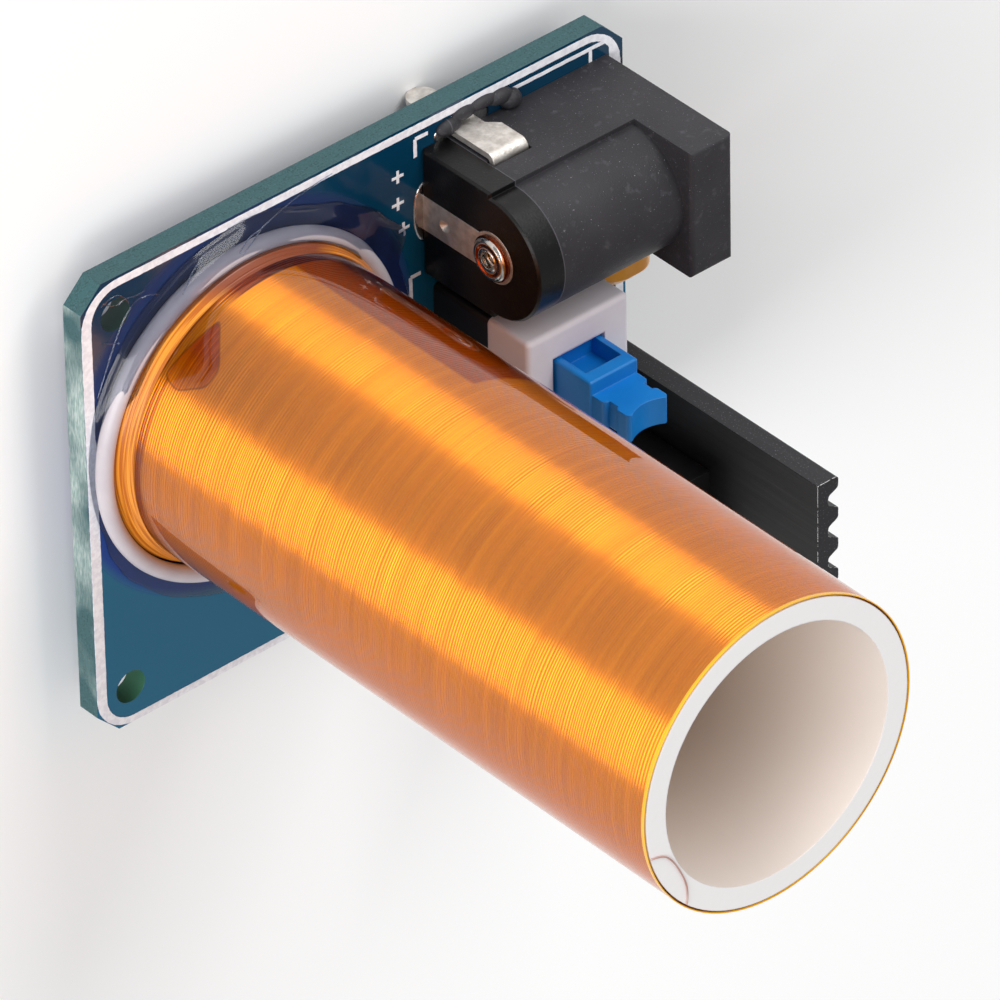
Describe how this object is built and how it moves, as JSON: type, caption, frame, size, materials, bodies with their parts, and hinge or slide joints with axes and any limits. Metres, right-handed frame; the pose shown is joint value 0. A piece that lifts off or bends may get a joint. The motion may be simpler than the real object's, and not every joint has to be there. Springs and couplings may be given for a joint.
{
  "type": "resonant transformer demonstration kit",
  "caption": "Upright air-cored resonant coil in amber film on a small circuit board, with a barrel power jack, a latching push switch, a finned heatsink and a power transistor.",
  "frame": {"origin": "midway between the two mounting holes, on the board's underside", "axes": "+Z out of the board's component side, along the coil; +X along the board's long side, from the coil to the mouth of the power jack; +Y from the heatsink's side to the jack's side"},
  "size_m": [0.0422, 0.0343, 0.0515],
  "materials": {
    "solder_mask": "glossy solder mask on glass laminate",
    "pvc_tube": "white PVC, satin",
    "enamelled_copper": "enamelled copper wire, glossy",
    "amber_film": "clear amber film, glossy",
    "white_insulation": "white PVC insulation",
    "clear_glue": "clear glue, wet look",
    "black_moulding": "moulded thermoplastic, fine texture",
    "plated_brass": "nickel-plated brass",
    "switch_black": "moulded thermoplastic, satin",
    "switch_white": "moulded thermoplastic, satin",
    "stem_blue": "moulded acetal, satin",
    "spring_steel": "drawn spring wire",
    "tinned_pins": "tinned",
    "black_anodised": "black anodised extrusion",
    "black_epoxy": "moulded epoxy, fine matte",
    "zinc_steel": "zinc plated",
    "yellow_coating": "dipped resin coat, satin",
    "clear_lens": "clear moulded epoxy",
    "resistor_coating": "painted ceramic rod",
    "solder": "bright solder"
  },
  "bodies": {
    "root": {"circuit_board": "solder_mask", "coil_former": "pvc_tube", "secondary_winding": "enamelled_copper", "insulating_film": "amber_film", "free_end_lead": "enamelled_copper", "primary_loop": "white_insulation", "glue_bead": "clear_glue", "jack_housing": "black_moulding", "jack_rear_cap": "black_moulding", "jack_centre_pin": "plated_brass", "jack_rear_terminal": "plated_brass", "jack_side_terminal": "plated_brass", "jack_sleeve_spring": "plated_brass", "switch_base": "switch_black", "switch_cover": "switch_white", "switch_spring": "spring_steel", "switch_pins": "tinned_pins", "switch_latch_wire": "spring_steel", "heatsink": "black_anodised", "collector_plate": "tinned_pins", "transistor_body": "black_epoxy", "transistor_leads": "tinned_pins", "clamp_screw": "zinc_steel", "clamp_nut": "zinc_steel", "capacitor_body": "yellow_coating", "capacitor_leads": "tinned_pins", "led_lens": "clear_lens", "led_leads": "tinned_pins", "resistor_body": "resistor_coating", "resistor_leads": "tinned_pins", "solder_joints": "solder"},
    "switch_button": {"switch_stem": "stem_blue", "switch_contacts": "plated_brass"}
  },
  "joints": [
    {"name": "switch_press", "type": "slide", "parent": "root", "child": "switch_button", "axis": [0, 0, -1], "range_m": [0, 0.0025], "stiffness_N_per_m": 500, "springref_m": -0.0024, "deforming": ["switch_spring"]}
  ]
}
